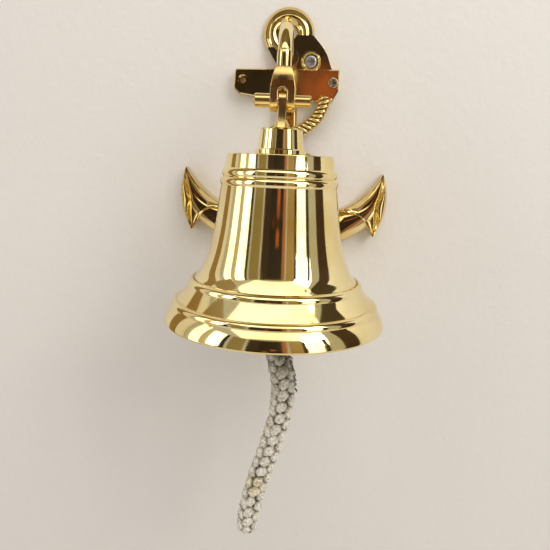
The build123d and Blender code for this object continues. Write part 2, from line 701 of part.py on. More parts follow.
PARTS = {
    "anchor_head": anchor_head,
    "anchor_stock": anchor_stock,
    "anchor_shank": anchor_shank,
    "anchor_arms": anchor_arms,
    "fluke_left": lambda: fluke(-1),
    "fluke_right": lambda: fluke(1),
    "cast_rope": cast_rope,
    "bracket_arm": bracket_arm,
    "arm_collar": arm_collar,
    "clevis": clevis,
    "arm_fixing_screw": arm_fixing_screw,
    "hanger_pin": hanger_pin,
    "pin_cap_nut": pin_cap_nut,
    "upper_wall_screw": upper_wall_screw,
    "right_wall_screw": right_wall_screw,
    "bell_crown": bell_crown,
    "bell_waist": bell_waist,
    "bell_sound_bow": bell_sound_bow,
    "neck_collar": neck_collar,
    "hanger_tongue": hanger_tongue,
    "crown_washer": crown_washer,
    "crown_nut": crown_nut,
    "clapper_eyebolt": clapper_eyebolt,
    "clapper_link": clapper_link,
    "clapper_rod": clapper_rod,
    "clapper_ball": clapper_ball,
    "clapper_tail_eye": clapper_tail_eye,
    "lanyard_loop": lanyard_loop,
    "lanyard_braid": lanyard_braid,
    "lanyard_knot": lanyard_knot,
}

os.makedirs("parts", exist_ok=True)
for name, make in PARTS.items():
    shape = make()
    shape.label = name
    export_step(shape, f"parts/{name}.step")
    print(name, len(shape.solids()), round(shape.volume, 1))

print("lanyard radii", [round(radius, 1) for radius in bend_radii(LANYARD_ROUTE)])
length = lanyard_path().length
section = math.pi * (LANYARD_D / 2) ** 2
print("lanyard length", round(length, 1), "section x length", round(section * length, 1))
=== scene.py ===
import bisect
import math

import bmesh
import bpy
from mathutils import Matrix, Vector, noise


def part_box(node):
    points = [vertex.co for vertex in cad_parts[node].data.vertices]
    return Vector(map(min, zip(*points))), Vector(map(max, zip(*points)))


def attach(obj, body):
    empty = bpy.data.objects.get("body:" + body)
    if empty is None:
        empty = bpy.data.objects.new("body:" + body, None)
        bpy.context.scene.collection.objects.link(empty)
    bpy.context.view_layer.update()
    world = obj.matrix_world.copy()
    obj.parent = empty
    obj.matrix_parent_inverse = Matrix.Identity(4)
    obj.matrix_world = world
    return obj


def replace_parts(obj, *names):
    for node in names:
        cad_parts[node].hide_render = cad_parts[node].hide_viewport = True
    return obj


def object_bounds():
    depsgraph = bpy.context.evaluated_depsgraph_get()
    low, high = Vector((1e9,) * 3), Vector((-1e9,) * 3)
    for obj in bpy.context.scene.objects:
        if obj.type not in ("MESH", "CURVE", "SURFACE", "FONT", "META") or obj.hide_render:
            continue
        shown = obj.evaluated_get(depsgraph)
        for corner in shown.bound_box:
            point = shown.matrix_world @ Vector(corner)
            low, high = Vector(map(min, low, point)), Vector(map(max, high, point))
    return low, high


# The looks of a wall-mounted ship bell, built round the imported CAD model.
# Lengths are in metres; MM turns the sizes below, given in millimetres, into metres.
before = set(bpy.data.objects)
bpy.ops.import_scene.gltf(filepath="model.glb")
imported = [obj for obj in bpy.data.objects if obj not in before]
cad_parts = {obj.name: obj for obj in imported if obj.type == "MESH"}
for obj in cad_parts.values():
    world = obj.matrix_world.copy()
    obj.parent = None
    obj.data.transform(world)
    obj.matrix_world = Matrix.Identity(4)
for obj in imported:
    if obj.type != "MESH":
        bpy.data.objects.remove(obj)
CAD_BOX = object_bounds()
MM = 0.001

# ---- Where things are, read from the frame
bow_low, bow_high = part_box("bell_sound_bow")
BELL_X, BELL_Y = (bow_low.x + bow_high.x) / 2, (bow_low.y + bow_high.y) / 2
RIM_Z = bow_low.z


# ---- Camera, at the photograph's viewing angle
CAMERA_PLACE = (0.01543, -0.47584, -0.06461)
YAW, PITCH, ROLL = -0.0415, 0.1961, 0.0408
SENSOR_WIDTH = 36.0
LENS = 36.66


def make_camera():
    forward = Vector((
        math.sin(YAW) * math.cos(PITCH), math.cos(YAW) * math.cos(PITCH), -math.sin(PITCH),
    ))
    level = Vector((math.cos(YAW), -math.sin(YAW), 0))
    upright = level.cross(forward)
    right = math.cos(ROLL) * level + math.sin(ROLL) * upright
    up = math.cos(ROLL) * upright - math.sin(ROLL) * level
    camera = bpy.data.objects.new("camera", bpy.data.cameras.new("camera"))
    camera.data.sensor_width = SENSOR_WIDTH
    camera.data.lens = LENS
    camera.data.clip_start = 0.01
    turn = Matrix((right, up, -forward)).transposed().to_4x4()
    camera.matrix_world = Matrix.Translation(CAMERA_PLACE) @ turn
    bpy.context.scene.collection.objects.link(camera)
    bpy.context.scene.camera = camera


make_camera()


# ---- Mesh helpers
def link_mesh(name, points, faces, smooth=True):
    mesh = bpy.data.meshes.new(name)
    mesh.from_pydata([tuple(point) for point in points], [], faces)
    mesh.update()
    if smooth:
        mesh.shade_smooth()
    else:
        mesh.shade_flat()
    piece = bpy.data.objects.new(name, mesh)
    bpy.context.scene.collection.objects.link(piece)
    return piece


def grid_faces(rows, columns, first=0):
    """Quads over rows of points, each row's last point joined to its first."""
    faces = []
    for row in range(rows - 1):
        for column in range(columns):
            beside = (column + 1) % columns
            low, high = first + row * columns, first + (row + 1) * columns
            faces.append((low + column, low + beside, high + beside, high + column))
    return faces


def loft(name, rings):
    """A skin over closed rings of equally many points, with both ends capped."""
    columns = len(rings[0])
    points = [point for ring in rings for point in ring]
    faces = grid_faces(len(rings), columns)
    faces.append(tuple(reversed(range(columns))))
    faces.append(tuple(range(len(points) - columns, len(points))))
    return link_mesh(name, points, faces)


def lathe(name, profile, centre, steps):
    """A closed skin turned round an upright axis; profile is a closed loop of (radius, height)."""
    rings = []
    for step in range(steps):
        angle = 2 * math.pi * step / steps
        out = Vector((math.cos(angle), math.sin(angle), 0))
        rings.append([centre + out * radius + Vector((0, 0, height)) for radius, height in profile])
    return link_mesh(name, *closed_turn(rings))


def closed_turn(rings):
    """The points and quads of rings whose last one is joined to the first."""
    points = [point for ring in rings for point in ring]
    columns = len(rings[0])
    faces = grid_faces(len(rings), columns)
    last = (len(rings) - 1) * columns
    for column in range(columns):
        beside = (column + 1) % columns
        faces.append((last + column, last + beside, beside, column))
    return points, faces


def finish_mesh(piece, crease_degrees):
    """Outward normals, and a hard shade across edges sharper than the stated angle."""
    work = bmesh.new()
    work.from_mesh(piece.data)
    bmesh.ops.recalc_face_normals(work, faces=work.faces)
    for edge in work.edges:
        edge.smooth = edge.calc_face_angle(0) < math.radians(crease_degrees)
    work.to_mesh(piece.data)
    work.free()
    return piece


def spline_through(points, per_run):
    """A Catmull-Rom curve through points of any length, as a dense list."""
    ends = [tuple(2 * a - b for a, b in zip(points[0], points[1]))]
    tail = [tuple(2 * a - b for a, b in zip(points[-1], points[-2]))]
    whole = ends + [tuple(point) for point in points] + tail
    dense = []
    for before, start, stop, after in zip(whole, whole[1:], whole[2:], whole[3:]):
        for step in range(per_run):
            t = step / per_run
            dense.append(tuple(
                0.5 * (2 * b + (c - a) * t + (2 * a - 5 * b + 4 * c - d) * t ** 2
                       + (3 * b - a - 3 * c + d) * t ** 3)
                for a, b, c, d in zip(before, start, stop, after)
            ))
    dense.append(tuple(points[-1]))
    return dense


def arc_through(start, middle, stop, steps):
    """Points on the circle through three (x, y) points, from start to stop."""
    (ax, ay), (bx, by), (cx, cy) = start, middle, stop
    d = 2 * (ax * (by - cy) + bx * (cy - ay) + cx * (ay - by))
    ux = ((ax * ax + ay * ay) * (by - cy) + (bx * bx + by * by) * (cy - ay)
          + (cx * cx + cy * cy) * (ay - by)) / d
    uy = ((ax * ax + ay * ay) * (cx - bx) + (bx * bx + by * by) * (ax - cx)
          + (cx * cx + cy * cy) * (bx - ax)) / d
    first = math.atan2(ay - uy, ax - ux)
    half = (math.atan2(by - uy, bx - ux) - first + math.pi) % (2 * math.pi) - math.pi
    rest = (math.atan2(cy - uy, cx - ux) - first - half + math.pi) % (2 * math.pi) - math.pi
    radius = math.hypot(ax - ux, ay - uy)
    return [
        (ux + radius * math.cos(first + (half + rest) * step / steps),
         uy + radius * math.sin(first + (half + rest) * step / steps))
        for step in range(steps + 1)
    ]


def rounded(part, fullness):
    """A sine or cosine raised to a power with its sign kept, for a ring with fuller corners."""
    return math.copysign(abs(part) ** fullness, part)


class Line:
    """A smooth line read by its length, with a frame that doesn't twist along it."""

    def __init__(self, points):
        self.points = [Vector(point) for point in points]
        self.at = [0.0]
        for a, b in zip(self.points, self.points[1:]):
            self.at.append(self.at[-1] + (b - a).length)
        self.length = self.at[-1]
        self.ways = []
        for i in range(len(self.points)):
            before, after = self.points[max(i - 1, 0)], self.points[min(i + 1, len(points) - 1)]
            self.ways.append((after - before).normalized())
        side = self.ways[0].cross(Vector((0, 1, 0))).normalized()
        self.sides = []
        for way in self.ways:
            side = (side - way * side.dot(way)).normalized()
            self.sides.append(side)

    def frame(self, distance):
        """Place, way along, side and front at a distance from the start."""
        distance = min(max(distance, 0.0), self.length)
        i = min(max(bisect.bisect_right(self.at, distance) - 1, 0), len(self.at) - 2)
        share = (distance - self.at[i]) / max(self.at[i + 1] - self.at[i], 1e-12)
        place = self.points[i].lerp(self.points[i + 1], share)
        way = self.ways[i].lerp(self.ways[i + 1], share).normalized()
        side = self.sides[i].lerp(self.sides[i + 1], share)
        side = (side - way * side.dot(way)).normalized()
        return place, way, side, way.cross(side)


def nurbs_points(name, route):
    """The points of a smooth curve whose control points are the route's, read from Blender."""
    data = bpy.data.curves.new(name, "CURVE")
    data.dimensions = "3D"
    data.resolution_u = 24
    spline = data.splines.new("NURBS")
    spline.points.add(len(route) - 1)
    for point, place in zip(spline.points, route):
        point.co = (*place, 1)
    spline.order_u = 3
    spline.use_endpoint_u = True
    holder = bpy.data.objects.new(name, data)
    bpy.context.scene.collection.objects.link(holder)
    bpy.context.view_layer.update()
    mesh = bpy.data.meshes.new_from_object(holder)
    points = [vertex.co.copy() for vertex in mesh.vertices]
    bpy.data.meshes.remove(mesh)
    bpy.data.objects.remove(holder)
    return points


class Heap:
    """Several closed skins gathered into one mesh, with one number kept at each point."""

    def __init__(self):
        self.points, self.faces, self.depths, self.plies = [], [], [], []

    def add(self, rings, depths, plies, closed_ends=True):
        first, columns = len(self.points), len(rings[0])
        for ring, depth_row, ply_row in zip(rings, depths, plies):
            self.points += ring
            self.depths += depth_row
            self.plies += ply_row
        self.faces += grid_faces(len(rings), columns, first)
        if closed_ends:
            self.faces.append(tuple(first + i for i in reversed(range(columns))))
            last = first + (len(rings) - 1) * columns
            self.faces.append(tuple(last + i for i in range(columns)))

    def piece(self, name):
        made = link_mesh(name, self.points, self.faces)
        for label, values in (("depth", self.depths), ("ply", self.plies)):
            attribute = made.data.attributes.new(label, "FLOAT", "POINT")
            attribute.data.foreach_set("value", values)
        return finish_mesh(made, 80.0)


# ---- Materials
def new_material(name):
    material = bpy.data.materials.new(name)
    material.use_nodes = True
    nodes = material.node_tree.nodes
    return material, nodes, material.node_tree.links, nodes["Principled BSDF"]


def noise_node(nodes, links, scale, detail=4.0, stretch=None):
    """A noise texture in object coordinates, stretched if stretch is given."""
    coordinates = nodes.new("ShaderNodeTexCoord")
    texture = nodes.new("ShaderNodeTexNoise")
    texture.inputs["Scale"].default_value = scale
    texture.inputs["Detail"].default_value = detail
    source = coordinates.outputs["Object"]
    if stretch:
        mapping = nodes.new("ShaderNodeMapping")
        mapping.inputs["Scale"].default_value = stretch
        links.new(source, mapping.inputs["Vector"])
        source = mapping.outputs["Vector"]
    links.new(source, texture.inputs["Vector"])
    return texture.outputs["Fac"]


def ramp(nodes, links, source, stops):
    """A colour ramp with (place, colour) stops."""
    made = nodes.new("ShaderNodeValToRGB")
    elements = made.color_ramp.elements
    for i, (place, colour) in enumerate(stops):
        element = elements[i] if i < 2 else elements.new(place)
        element.position = place
        element.color = (*colour, 1.0) if len(colour) == 3 else colour
    links.new(source, made.inputs["Fac"])
    return made.outputs["Color"]


def spread_of(nodes, links, source, low, high):
    """Maps 0.3 to 0.7, where noise mostly lies, to low and high."""
    made = nodes.new("ShaderNodeMapRange")
    made.inputs["From Min"].default_value = 0.3
    made.inputs["From Max"].default_value = 0.7
    made.inputs["To Min"].default_value = low
    made.inputs["To Max"].default_value = high
    links.new(source, made.inputs["Value"])
    return made.outputs["Result"]


def bump(nodes, links, source, strength, distance, below=None):
    made = nodes.new("ShaderNodeBump")
    made.inputs["Strength"].default_value = strength
    made.inputs["Distance"].default_value = distance
    links.new(source, made.inputs["Height"])
    if below:
        links.new(below, made.inputs["Normal"])
    return made.outputs["Normal"]


def brass(name, light, dark, roughness, wave=0.00012, scratch_stretch=(1, 1, 1)):
    """Polished brass: a slow change of colour, smudges in the gloss, a faint unevenness."""
    material, nodes, links, shader = new_material(name)
    shader.inputs["Metallic"].default_value = 1.0
    tone = ramp(nodes, links, noise_node(nodes, links, 28.0, 5.0), ((0.34, dark), (0.62, light)))
    links.new(tone, shader.inputs["Base Color"])
    smudge = noise_node(nodes, links, 60.0, 6.0)
    links.new(spread_of(nodes, links, smudge, *roughness), shader.inputs["Roughness"])
    slow = bump(nodes, links, noise_node(nodes, links, 22.0, 1.0), 1.0, wave)
    fine = noise_node(nodes, links, 900.0, 2.0, scratch_stretch)
    links.new(bump(nodes, links, fine, 0.25, 0.00001, slow), shader.inputs["Normal"])
    return material


def turned_brass(name, light, dark, roughness, rings_per_metre):
    """Brass with the fine rings that a lathe or a milling cutter leaves."""
    material = brass(name, light, dark, roughness)
    nodes, links = material.node_tree.nodes, material.node_tree.links
    wave = nodes.new("ShaderNodeTexWave")
    wave.wave_type = "RINGS"
    wave.rings_direction = "Z"
    wave.inputs["Scale"].default_value = rings_per_metre
    wave.inputs["Distortion"].default_value = 1.5
    coordinates = nodes.new("ShaderNodeTexCoord")
    place = nodes.new("ShaderNodeMapping")
    place.inputs["Location"].default_value = (-BELL_X, -BELL_Y, 0)
    links.new(coordinates.outputs["Object"], place.inputs["Vector"])
    links.new(place.outputs["Vector"], wave.inputs["Vector"])
    shader = nodes["Principled BSDF"]
    below = shader.inputs["Normal"].links[0].from_socket
    links.new(
        bump(nodes, links, wave.outputs["Fac"], 0.5, 0.00003, below), shader.inputs["Normal"]
    )
    return material


BRASS_LIGHT = (0.94, 0.81, 0.44)
BRASS_DARK = (0.84, 0.67, 0.29)
bell_brass = brass("bell_brass", BRASS_LIGHT, BRASS_DARK, (0.035, 0.10), 0.00007, (1, 1, 12))
anchor_brass = brass("anchor_brass", (0.86, 0.69, 0.34), (0.70, 0.51, 0.20), (0.05, 0.14), 0.0002)
fork_brass = turned_brass("fork_brass", (0.85, 0.64, 0.28), (0.68, 0.47, 0.17), (0.14, 0.26), 900)
pin_brass = turned_brass("pin_brass", (0.86, 0.67, 0.31), (0.70, 0.50, 0.19), (0.12, 0.22), 1200)
inner_brass = brass("inner_brass", (0.62, 0.44, 0.19), (0.38, 0.25, 0.10), (0.28, 0.5), 0.0002)


def metal(name, colour, roughness):
    """A plated or plain steel screw, dulled in patches."""
    material, nodes, links, shader = new_material(name)
    shader.inputs["Metallic"].default_value = 1.0
    dull = tuple(0.62 * part for part in colour)
    patches = noise_node(nodes, links, 420.0, 5.0)
    tone = ramp(nodes, links, patches, ((0.35, dull), (0.65, colour)))
    links.new(tone, shader.inputs["Base Color"])
    links.new(spread_of(nodes, links, patches, *roughness), shader.inputs["Roughness"])
    fine = noise_node(nodes, links, 2500.0, 2.0)
    links.new(bump(nodes, links, fine, 0.4, 0.00002), shader.inputs["Normal"])
    return material


zinc = metal("zinc", (0.62, 0.62, 0.64), (0.28, 0.45))
steel = metal("steel", (0.75, 0.70, 0.58), (0.2, 0.36))


def rope_brass():
    """Cast brass rope: the twist's hollows stay brown where the polish doesn't reach."""
    material = brass("rope_brass", (0.80, 0.58, 0.24), (0.62, 0.40, 0.13), (0.14, 0.3), 0.0001)
    nodes, links = material.node_tree.nodes, material.node_tree.links
    shader = nodes["Principled BSDF"]
    depth = nodes.new("ShaderNodeAttribute")
    depth.attribute_name = "depth"
    tone = ramp(nodes, links, depth.outputs["Fac"], (
        (0.0, (0.32, 0.21, 0.08)), (0.30, (0.68, 0.51, 0.22)), (0.75, (0.90, 0.74, 0.38)),
    ))
    links.new(tone, shader.inputs["Base Color"])
    return material


def cotton():
    """White braid cotton: ply lines, a grey-green grime at the top, painted shade in the hollows.
    """
    material, nodes, links, shader = new_material("cotton")
    depth = nodes.new("ShaderNodeAttribute")
    depth.attribute_name = "depth"
    ply = nodes.new("ShaderNodeAttribute")
    ply.attribute_name = "ply"
    # Painted shade: the colour darkens from the cotton's white on the knobs' crests into the gaps
    # between them.
    hollow_shade = ramp(nodes, links, depth.outputs["Fac"], (
        (0.50, (0.19, 0.16, 0.11)), (0.67, (0.55, 0.51, 0.43)), (0.84, (0.95, 0.90, 0.80)),
    ))
    position = nodes.new("ShaderNodeTexCoord")
    parts = nodes.new("ShaderNodeSeparateXYZ")
    links.new(position.outputs["Object"], parts.inputs["Vector"])
    height = nodes.new("ShaderNodeMapRange")
    height.inputs["From Min"].default_value = RIM_Z - 64 * MM
    height.inputs["From Max"].default_value = RIM_Z - 26 * MM
    links.new(parts.outputs["Z"], height.inputs["Value"])
    patches = noise_node(nodes, links, 160.0, 4.0)
    grime = nodes.new("ShaderNodeMath")
    grime.operation = "MULTIPLY"
    links.new(height.outputs["Result"], grime.inputs[0])
    links.new(spread_of(nodes, links, patches, 0.25, 0.95), grime.inputs[1])
    dirty = nodes.new("ShaderNodeMix")
    dirty.data_type = "RGBA"
    links.new(grime.outputs["Value"], dirty.inputs["Factor"])
    links.new(hollow_shade, dirty.inputs["A"])
    dirty.inputs["B"].default_value = (0.17, 0.17, 0.12, 1)
    stain_place = nodes.new("ShaderNodeVectorMath")
    stain_place.operation = "DISTANCE"
    links.new(position.outputs["Object"], stain_place.inputs[0])
    stain_place.inputs[1].default_value = STAIN_PLACE
    stain = nodes.new("ShaderNodeMapRange")
    stain.inputs["From Min"].default_value = 4 * MM
    stain.inputs["From Max"].default_value = 11 * MM
    stain.inputs["To Min"].default_value = 0.4
    stain.inputs["To Max"].default_value = 0.0
    links.new(stain_place.outputs["Value"], stain.inputs["Value"])
    stained = nodes.new("ShaderNodeMix")
    stained.data_type = "RGBA"
    stained.blend_type = "MULTIPLY"
    links.new(stain.outputs["Result"], stained.inputs["Factor"])
    links.new(dirty.outputs["Result"], stained.inputs["A"])
    stained.inputs["B"].default_value = (0.95, 0.80, 0.35, 1)
    tufts = noise_node(nodes, links, 650.0, 6.0)
    mottle = nodes.new("ShaderNodeMix")
    mottle.data_type = "RGBA"
    mottle.blend_type = "MULTIPLY"
    mottle.inputs["Factor"].default_value = 1.0
    links.new(stained.outputs["Result"], mottle.inputs["A"])
    links.new(ramp(nodes, links, tufts, (
        (0.34, (0.55, 0.52, 0.46)), (0.56, (1.0, 1.0, 1.0)),
    )), mottle.inputs["B"])
    links.new(mottle.outputs["Result"], shader.inputs["Base Color"])
    shader.inputs["Roughness"].default_value = 0.95
    shader.inputs["Sheen Weight"].default_value = 0.35
    shader.inputs["Sheen Roughness"].default_value = 0.5
    shader.inputs["Specular IOR Level"].default_value = 0.2
    wave = nodes.new("ShaderNodeMath")
    wave.operation = "SINE"
    links.new(ply.outputs["Fac"], wave.inputs[0])
    plies = bump(nodes, links, wave.outputs["Value"], 0.9, 0.00025)
    fibres = noise_node(nodes, links, 1500.0, 6.0)
    links.new(bump(nodes, links, fibres, 1.0, 0.00030, plies), shader.inputs["Normal"])
    return material


# ---- The lanyard: a cotton crown-sennit braid, 17 mm thick, hanging from the clapper's tail eye
LANYARD_ROUTE_MM = (
    (2.6, -95.0, -193.6), (7.3, -95.3, -208.5), (9.3, -95.8, -226.0), (6.8, -96.0, -250.0),
    (-0.5, -95.6, -275.0), (-8.3, -95.0, -300.0), (-12.6, -94.6, -320.0), (-14.4, -94.4, -337.0),
)
LANYARD_ROUTE = [tuple(part * MM for part in point) for point in LANYARD_ROUTE_MM]
STAIN_PLACE = (-9.0 * MM, -103.0 * MM, -298.0 * MM)
KNOB_COLUMNS = 6
KNOB_PITCH = 8.8 * MM
KNOB_HALF = (5.2 * MM, 4.1 * MM, 4.0 * MM)  # along the strand, across it, and outwards
KNOB_LEAN = math.radians(32)
KNOB_RINGS = 11
KNOB_SIDES = 18
LUMPINESS = 0.26
TURN_JITTER = 0.26
LEAN_JITTER = 0.5
SIZE_JITTER = 0.14
PLACE_JITTER = 1.1 * MM
LOOP_FULLNESS = 0.62  # 1 gives an oval, and less gives fuller corners
BRAID_CORE_R = 5.2 * MM
CORE_STEPS = 60
CORE_SIDES = 12
BRAID_OUTER_R = 9.5 * MM  # the crests stand a little outside the stated diameter
FAR_END_SHRINK = 0.90

lanyard_line = Line(nurbs_points("lanyard_route", LANYARD_ROUTE))


def knob(heap, centre, along, across, out, half):
    """One bulge of a strand: a fat, lumpy ellipsoid with ply lines across it."""
    half_along, half_across, half_out = half
    skin, depths, plies = [], [], []
    for row in range(KNOB_RINGS + 1):
        polar = math.pi * (row + 0.35) / (KNOB_RINGS + 0.7)
        row_points, row_depths, row_plies = [], [], []
        for column in range(KNOB_SIDES):
            turn = 2 * math.pi * column / KNOB_SIDES
            u = math.cos(polar)
            v = math.sin(polar) * math.cos(turn)
            w = math.sin(polar) * math.sin(turn)
            swell = 1 + 0.035 * math.cos(5 * turn + 6 * u)
            offset = along * half_along * u
            offset += (across * half_across * v + out * half_out * w) * swell
            place = centre + offset
            lump = noise.noise(place * 600) + 0.6 * noise.noise(place * 1500)
            offset *= 1 + LUMPINESS * lump
            row_points.append(centre + offset)
            # This depth drops towards 0.5 where the knob turns into the braid; the cotton darkens
            # it there as painted shade.
            row_depths.append(0.5 + 0.5 * w)
            row_plies.append(9 * v + 8 * u)
        skin.append(row_points)
        depths.append(row_depths)
        plies.append(row_plies)
    heap.add(skin, depths, plies)


def make_braid():
    heap = Heap()
    rows = int(lanyard_line.length / KNOB_PITCH)
    core = []
    for step in range(CORE_STEPS + 1):
        place, _, side, front = lanyard_line.frame(lanyard_line.length * step / CORE_STEPS)
        core.append([
            place + (side * math.cos(t) + front * math.sin(t)) * BRAID_CORE_R
            for t in (2 * math.pi * i / CORE_SIDES for i in range(CORE_SIDES))
        ])
    # Depth 0 gives the core the cotton's darkest colour: a painted shadow in the gaps between the
    # knobs.
    zeros = [[0.0] * CORE_SIDES] * len(core)
    heap.add(core, zeros, zeros)
    for row in range(rows + 1):
        for column in range(KNOB_COLUMNS):
            stagger = 0.5 if column % 2 else 0.0
            distance = (row + stagger) * KNOB_PITCH + 0.5 * KNOB_HALF[0]
            distance += PLACE_JITTER * noise.noise(Vector((row * 2.9, column * 1.1, 7.5)))
            if distance > lanyard_line.length - 0.4 * KNOB_HALF[0]:
                continue
            seed = Vector((row * 1.7, column * 2.3, 0.5))
            place, way, side, front = lanyard_line.frame(distance)
            turn = 2 * math.pi * column / KNOB_COLUMNS + 0.25 + TURN_JITTER * noise.noise(seed)
            turn += 0.35 * math.sin(distance * 18)
            out = side * math.cos(turn) + front * math.sin(turn)
            round_way = way.cross(out)
            lean = KNOB_LEAN * (1 if column % 2 else -1)
            lean *= 1 + LEAN_JITTER * noise.noise(seed * 1.9)
            along = way * math.cos(lean) + round_way * math.sin(lean)
            across = out.cross(along)
            thin = 1 + (FAR_END_SHRINK - 1) * distance / lanyard_line.length
            size = thin * (1 + SIZE_JITTER * noise.noise(seed * 3.1))
            centre = place + out * (BRAID_OUTER_R * thin - KNOB_HALF[2] * size)
            knob(heap, centre, along, across, out, [part * size for part in KNOB_HALF])
    return heap.piece("lanyard_braid_cotton")


def make_tucked_end():
    """The last strands tucked back into the braid's end: low lobes round one in the middle."""
    heap = Heap()
    place, way, side, front = lanyard_line.frame(lanyard_line.length)
    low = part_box("lanyard_knot")[0].z
    room = place.z - low
    for lobe in range(5):
        turn = 2 * math.pi * lobe / 5 + 0.3
        out = side * math.cos(turn) + front * math.sin(turn)
        centre = place + out * 4.0 * MM - way * (0.6 + 0.5 * (lobe % 2)) * MM
        knob(heap, centre, way, out.cross(way), out, (room * 0.8, 3.6 * MM, 3.4 * MM))
    knob(heap, place, way, side, front, (room * 0.85, 3.6 * MM, 3.2 * MM))
    return heap.piece("lanyard_tucked_end")


def twisted(heap, line, strands, strand_r, offset_r, pitch, step, closed=False, columns=10):
    """Strands laid round a line; depth is 1 on the outside and 0 in the twist's hollows."""
    count = max(8, int(line.length / step))
    for strand in range(strands):
        skin, depths, plies = [], [], []
        for i in range(count + 1):
            distance = line.length * i / count
            place, way, side, front = line.frame(distance)
            turn = 2 * math.pi * (strand / strands + distance / pitch)
            out = side * math.cos(turn) + front * math.sin(turn)
            around = way.cross(out)
            centre = place + out * offset_r
            ring, ring_depths, ring_plies = [], [], []
            for column in range(columns):
                angle = 2 * math.pi * column / columns
                ring.append(centre + (out * math.cos(angle) + around * math.sin(angle)) * strand_r)
                ring_depths.append(max(0.0, math.cos(angle)))
                ring_plies.append(5 * angle + distance * 5200)
            skin.append(ring)
            depths.append(ring_depths)
            plies.append(ring_plies)
        heap.add(skin, depths, plies, closed_ends=not closed)


def make_loop():
    """The small cord loop between the clapper's tail eye and the braid."""
    low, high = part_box("lanyard_loop")
    centre = (low + high) / 2
    wire_r = (high.x - low.x) / 2
    half_y, half_z = (high.y - low.y) / 2 - wire_r, (high.z - low.z) / 2 - wire_r
    points = []
    for step in range(73):
        turn = 2 * math.pi * step / 72
        y = rounded(math.cos(turn), LOOP_FULLNESS) * half_y
        z = rounded(math.sin(turn), LOOP_FULLNESS) * half_z
        points.append(centre + Vector((0, y, z)))
    heap = Heap()
    # The twist's hollows take the cotton's painted shade through the strands' depths.
    twisted(heap, Line(points), 3, 0.8 * MM, 0.75 * MM, 9 * MM, 0.5 * MM, closed=True)
    return heap.piece("lanyard_loop_cord")


FRAY_STRANDS = 14


def make_fray():
    """Loose dark yarn ends down the right side of the braid's top."""
    heap = Heap()
    right = Vector((1, 0, 0))
    for strand in range(FRAY_STRANDS):
        seed = Vector((strand * 3.1, 1.3, 0.2))
        place = lanyard_line.frame((5 + 1.9 * strand) * MM)[0]
        wander = Vector((noise.noise(seed), noise.noise(seed * 2.1), noise.noise(seed * 3.7)))
        start = place + right * 8.2 * MM + Vector((0, -2.5 + 5 * wander.y, 0)) * MM
        end = start + Vector((1.0, -0.8, -2.4)) * MM + wander * 2.2 * MM
        middle = (start + end) / 2 + right * 1.0 * MM
        points = [Vector(p) for p in spline_through([tuple(start), tuple(middle), tuple(end)], 6)]
        twisted(heap, Line(points), 1, 0.42 * MM, 0.0, 1.0, 0.8 * MM, columns=6)
    # Low depths give the yarn ends the dark end of the cotton's painted-shade colours all over.
    heap.depths = [0.45 * depth for depth in heap.depths]
    return heap.piece("lanyard_frayed_yarn")


cotton_material = cotton()
braid, tucked_end, loop, fray = make_braid(), make_tucked_end(), make_loop(), make_fray()
for piece in (braid, tucked_end, loop, fray):
    piece.data.materials.append(cotton_material)
    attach(piece, "lanyard")
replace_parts(braid, "lanyard_braid")
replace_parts(tucked_end, "lanyard_knot")
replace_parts(loop, "lanyard_loop")

# ---- The bell: one casting, turned; (radius, height above the rim) in millimetres
CROWN_R, CROWN_H = 35.6, 113.5
BELL_HOLE_R = 4.2
INNER_CROWN_H = 107.0


def bell_profile():
    def bead(*points):
        return arc_through(*points, 10)

    beads = [
        bead((37.1, 104.3), (38.5, 101.6), (37.7, 98.8)),
        bead((37.7, 98.8), (39.6, 96.0), (38.8, 93.2)),
    ]
    waist = spline_through(
        [(38.9, 92.3), (39.0, 91.5), (40.8, 77.5), (42.7, 64.1), (45.7, 50.5), (50.2, 37.9),
         (55.4, 30.6)], 14,
    )
    bow = [
        bead((55.4, 30.4), (58.9, 29.3), (59.7, 25.8)),
        bead((59.7, 25.8), (63.1, 21.2), (67.2, 16.4)),
        bead((67.2, 16.4), (70.3, 15.2), (70.8, 12.0)),
        bead((70.8, 12.0), (74.3, 6.4), (76.0, 1.6)),
        bead((76.0, 1.6), (75.4, 0.4), (74.2, 0.0)),
    ]
    inside = spline_through(
        [(71.6, 0.0), (63.8, 11.5), (54.6, 24.2), (47.2, 37.0), (42.2, 50.0), (39.2, 64.0),
         (36.4, 80.0), (34.0, 99.0)], 8,
    )
    corner = bead((34.0, 99.0), (31.9, 104.8), (26.0, INNER_CROWN_H))
    crown_edge = bead((CROWN_R - 0.7, CROWN_H), (CROWN_R - 0.2, CROWN_H - 0.2),
                      (CROWN_R, CROWN_H - 0.7))
    outline = [(BELL_HOLE_R, CROWN_H), (20.0, CROWN_H)] + crown_edge
    outline += [(36.2, 109.2), (36.8, 104.9), (36.9, 104.5)]
    for part in beads:
        outline += part
    outline += waist
    for part in bow:
        outline += part
    outline += inside + corner + [(BELL_HOLE_R, INNER_CROWN_H)]
    kept = [outline[0]]
    for point in outline[1:]:
        if math.dist(point, kept[-1]) > 0.02:
            kept.append(point)
    return [(radius * MM, height * MM) for radius, height in kept]


bell = finish_mesh(lathe("bell_casting", bell_profile(), Vector((BELL_X, BELL_Y, RIM_Z)), 256), 28)
bell.data.materials.append(bell_brass)
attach(bell, "bell")
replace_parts(bell, "bell_crown", "bell_waist", "bell_sound_bow")

# ---- The anchor's arms: one round bar from bill to bill, through the crown behind the bell
ARM_STATIONS = (  # x and z of the centre line, half width in the wall's plane, half depth
    (80.6, -73.0, 0.9, 1.2), (80.2, -79.0, 2.2, 2.6), (78.0, -89.0, 4.0, 3.8),
    (72.5, -99.5, 6.2, 4.8), (64.5, -107.0, 8.8, 5.2), (52.5, -113.2, 10.8, 5.5),
    (40.0, -119.5, 11.2, 5.5), (22.0, -128.5, 11.8, 5.5), (0.0, -134.5, 12.4, 5.5),
)
ARMS_MIDDLE_Y = -5.5
ARM_SIDES = 28
ARM_FULLNESS = 0.85  # 1 gives an ellipse, and less gives fuller corners


